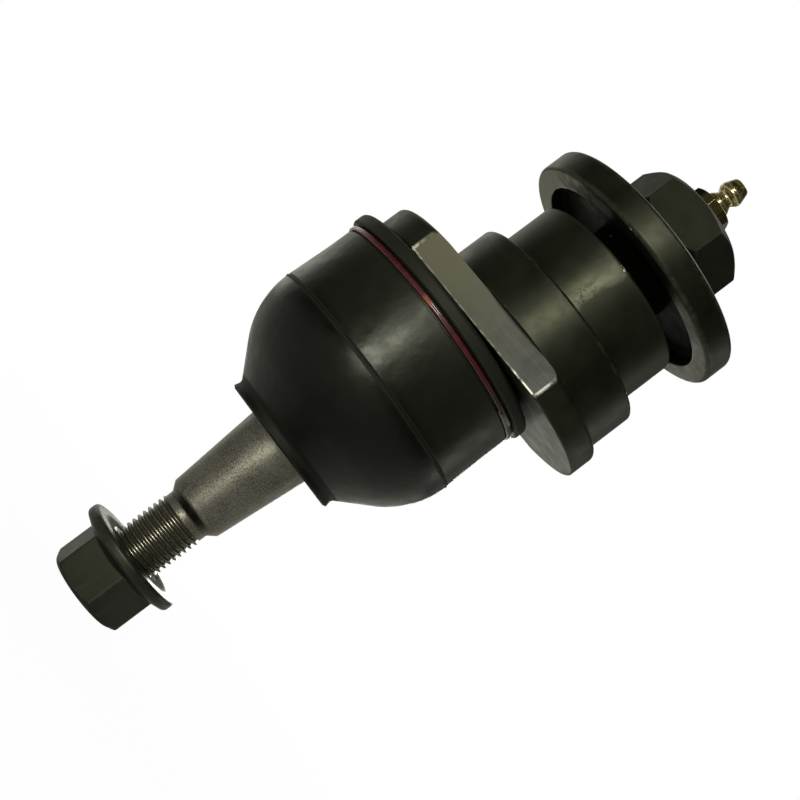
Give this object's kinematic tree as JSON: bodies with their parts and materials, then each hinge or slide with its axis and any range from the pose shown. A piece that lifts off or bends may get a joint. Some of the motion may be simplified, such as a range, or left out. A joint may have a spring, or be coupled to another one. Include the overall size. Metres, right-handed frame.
{
  "type": "suspension ball joint",
  "caption": "Greasable suspension ball joint: eccentric mounting shank with cup washer and nut, flange with wrench flats, rubber dust boot and a tapered, threaded stud with flanged nut",
  "frame": {"origin": "On the mounting shank's axis, in the plane of the shoulder that the control arm's eye seats on", "axes": "+Z along the mounting shank towards the grease fitting; the ball's axis is parallel to it at -X; the flange's wrench flats face -Y and +Y; the stud points along -Z"},
  "size_m": [0.0815, 0.0648, 0.1845],
  "materials": {
    "black_phosphate": "satin black phosphate",
    "black_oxide": "satin black oxide",
    "stud_steel": "turned and phosphated steel, fine grain on the taper",
    "sintered_iron": "oil-filled sintered iron",
    "hardened_steel": "ground bearing steel",
    "spring_steel": "oil-blackened spring steel",
    "boot_rubber": "satin moulded rubber",
    "red_wire": "dark red lacquered wire",
    "bush_plastic": "black acetal",
    "zinc_yellow": "yellow passivated, bright",
    "check_steel": "polished steel"
  },
  "bodies": {
    "housing_body": {"housing": "black_phosphate", "preload_spring": "spring_steel", "lower_race": "hardened_steel", "snap_ring": "spring_steel", "boot_clamp_ring": "red_wire", "cup_washer": "black_phosphate", "lock_nut": "black_oxide", "grease_fitting": "zinc_yellow", "fitting_spring": "spring_steel"},
    "seat_body": {"upper_seat": "sintered_iron", "boot": "boot_rubber"},
    "lip_body": {"boot_lip_ring": "bush_plastic"},
    "stud_body": {"ball_stud": "stud_steel", "stud_nut": "black_oxide"},
    "check_body": {"fitting_check_ball": "check_steel"}
  },
  "joints": [
    {"name": "swing_direction", "type": "hinge", "parent": "housing_body", "child": "seat_body", "pos_m": [-0.0172, 0, -0.03265], "axis": [0, 0, 1], "continuous": true},
    {"name": "stud_swing", "type": "hinge", "parent": "seat_body", "child": "lip_body", "pos_m": [-0.0172, 0, -0.03265], "axis": [0, 1, 0], "range_deg": [-20, 20], "deforming": ["boot"]},
    {"name": "stud_spin", "type": "hinge", "parent": "lip_body", "child": "stud_body", "pos_m": [-0.0172, 0, -0.03265], "axis": [0, 0, 1], "continuous": true},
    {"name": "check_ball_lift", "type": "slide", "parent": "housing_body", "child": "check_body", "axis": [0, 0, -1], "range_m": [0, 0.0009], "stiffness_N_per_m": 300, "springref_m": -0.001, "deforming": ["fitting_spring"]}
  ]
}
